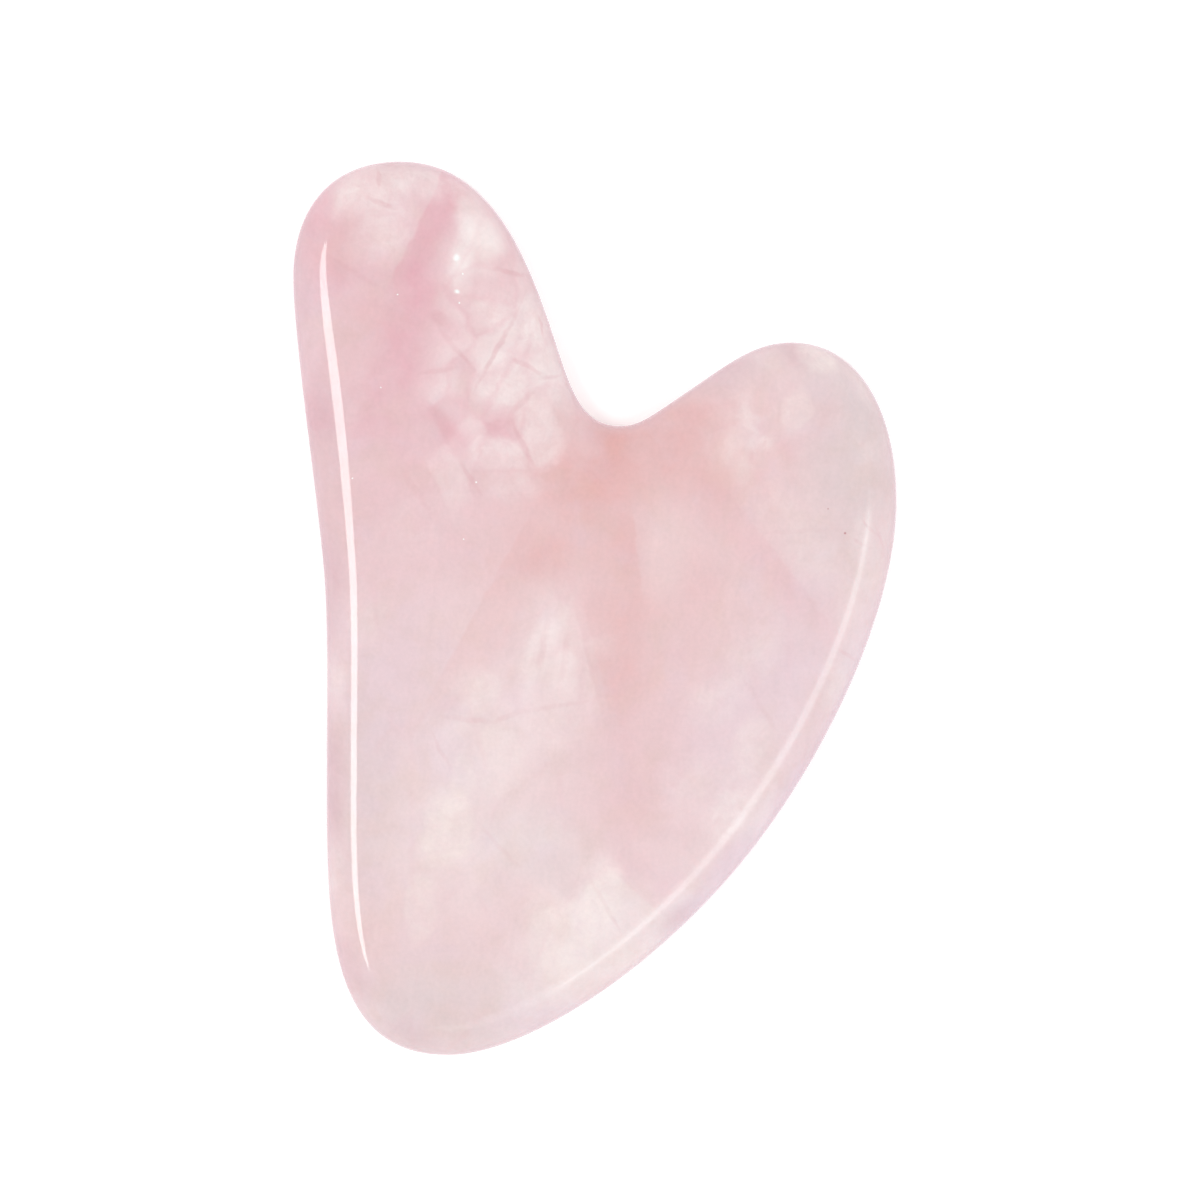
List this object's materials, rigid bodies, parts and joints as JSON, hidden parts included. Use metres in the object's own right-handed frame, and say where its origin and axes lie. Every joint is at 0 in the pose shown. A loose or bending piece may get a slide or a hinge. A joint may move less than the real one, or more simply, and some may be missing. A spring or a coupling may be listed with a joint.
{
  "type": "gua sha scraper",
  "caption": "Flat heart-shaped massage stone of polished rose quartz, with a tall lobe, a short lobe, a notch between them, a blunt tip and a rounded edge.",
  "frame": {"origin": "middle of the outline's length and width, on the lower flat face", "axes": "+Z out of the upper flat face, +Y along the length towards the tall lobe, +X towards the short lobe"},
  "size_m": [0.0574, 0.085, 0.006],
  "materials": {
    "rose_quartz": "polished, translucent, pale pink with cloudy veils and fine healed cracks"
  },
  "bodies": {
    "root": {"stone_body": "rose_quartz"}
  },
  "joints": []
}
